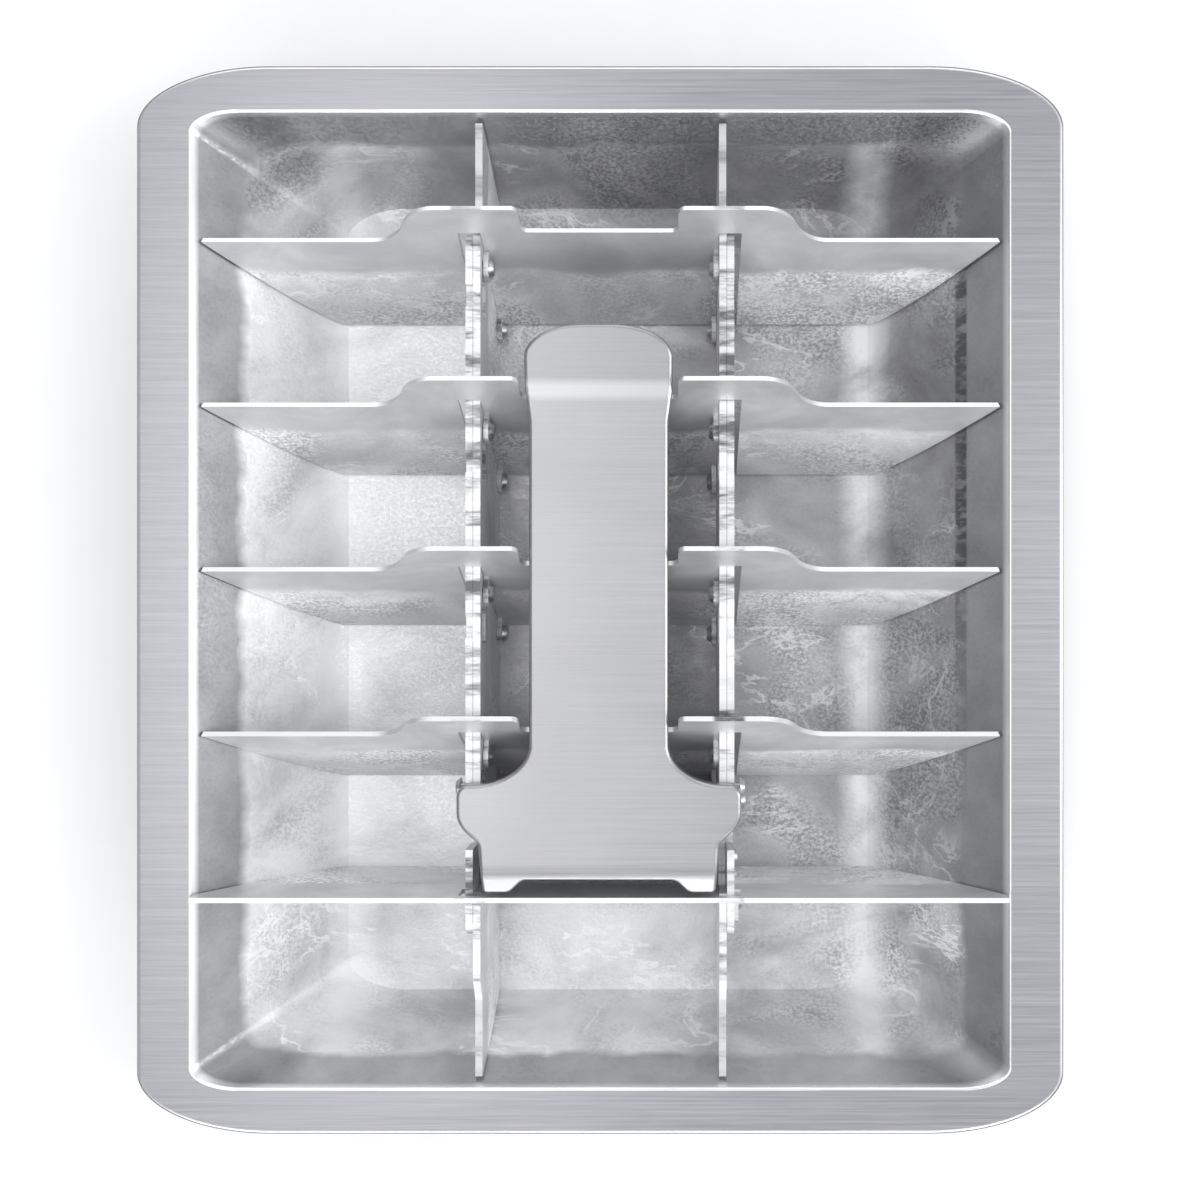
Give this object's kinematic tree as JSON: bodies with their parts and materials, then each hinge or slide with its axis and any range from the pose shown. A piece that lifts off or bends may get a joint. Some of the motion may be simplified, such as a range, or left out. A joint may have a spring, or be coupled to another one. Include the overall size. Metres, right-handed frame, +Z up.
{
  "type": "lever ice cube tray",
  "caption": "Shallow metal ice cube tray with a lift-out divider grid whose cross plates tilt when a centre lever is raised.",
  "frame": {"origin": "bottom centre of the pan, on the surface it stands on", "axes": "+Z up, +Y along the tray towards the lever's free tip, +X across the tray to the right"},
  "size_m": [0.243, 0.28, 0.0453],
  "materials": {
    "pan_steel": "brushed",
    "grid_steel": "satin",
    "lever_steel": "brushed",
    "rivet_steel": "polished"
  },
  "bodies": {
    "pan": {"pan_floor": "pan_steel", "pan_side_right": "pan_steel", "pan_side_left": "pan_steel", "pan_end_front": "pan_steel", "pan_end_rear": "pan_steel", "pan_corner_front_right": "pan_steel", "pan_corner_front_left": "pan_steel", "pan_corner_rear_right": "pan_steel", "pan_corner_rear_left": "pan_steel"},
    "grid": {"divider_left": "grid_steel", "divider_right": "grid_steel", "plate_pivot_rivets": "rivet_steel", "lever_pivot_rivets": "rivet_steel", "strip_guide_rivets": "rivet_steel", "lever_washers": "rivet_steel"},
    "slider": {"slide_strip_left": "grid_steel", "slide_strip_right": "grid_steel", "end_plate": "grid_steel", "end_plate_rivets": "rivet_steel"},
    "lever_arm": {"lever": "lever_steel", "lever_drive_pins": "rivet_steel"},
    "cross_plate_1_body": {"cross_plate_1": "grid_steel", "cross_plate_1_pins": "rivet_steel"},
    "cross_plate_2_body": {"cross_plate_2": "grid_steel", "cross_plate_2_pins": "rivet_steel"},
    "cross_plate_3_body": {"cross_plate_3": "grid_steel", "cross_plate_3_pins": "rivet_steel"},
    "cross_plate_4_body": {"cross_plate_4": "grid_steel", "cross_plate_4_pins": "rivet_steel"}
  },
  "joints": [
    {"name": "grid_lift", "type": "slide", "parent": "pan", "child": "grid", "axis": [0, 0, 1], "range_m": [0, 0.06]},
    {"name": "lever_swing", "type": "hinge", "parent": "grid", "child": "lever_arm", "pos_m": [0, -0.055, 0.02], "axis": [1, 0, 0], "range_deg": [0, 45]},
    {"name": "strip_slide", "type": "slide", "parent": "grid", "child": "slider", "axis": [0, -1, 0], "range_m": [0, 0.01142]},
    {"name": "cross_plate_1_tilt", "type": "hinge", "parent": "grid", "child": "cross_plate_1_body", "pos_m": [0, 0.0767, 0.005], "axis": [1, 0, 0], "range_deg": [0, 25]},
    {"name": "cross_plate_2_tilt", "type": "hinge", "parent": "grid", "child": "cross_plate_2_body", "pos_m": [0, 0.0334, 0.005], "axis": [1, 0, 0], "range_deg": [0, 25]},
    {"name": "cross_plate_3_tilt", "type": "hinge", "parent": "grid", "child": "cross_plate_3_body", "pos_m": [0, -0.0099, 0.005], "axis": [1, 0, 0], "range_deg": [0, 25]},
    {"name": "cross_plate_4_tilt", "type": "hinge", "parent": "grid", "child": "cross_plate_4_body", "pos_m": [0, -0.0532, 0.005], "axis": [1, 0, 0], "range_deg": [0, 25]}
  ],
  "couplings": [
    {"joint": "strip_slide", "follows": "lever_swing", "m_per_rad": 0.014528},
    {"joint": "cross_plate_1_tilt", "follows": "lever_swing", "ratio": 0.5555},
    {"joint": "cross_plate_2_tilt", "follows": "lever_swing", "ratio": 0.5555},
    {"joint": "cross_plate_3_tilt", "follows": "lever_swing", "ratio": 0.5555},
    {"joint": "cross_plate_4_tilt", "follows": "lever_swing", "ratio": 0.5555}
  ]
}
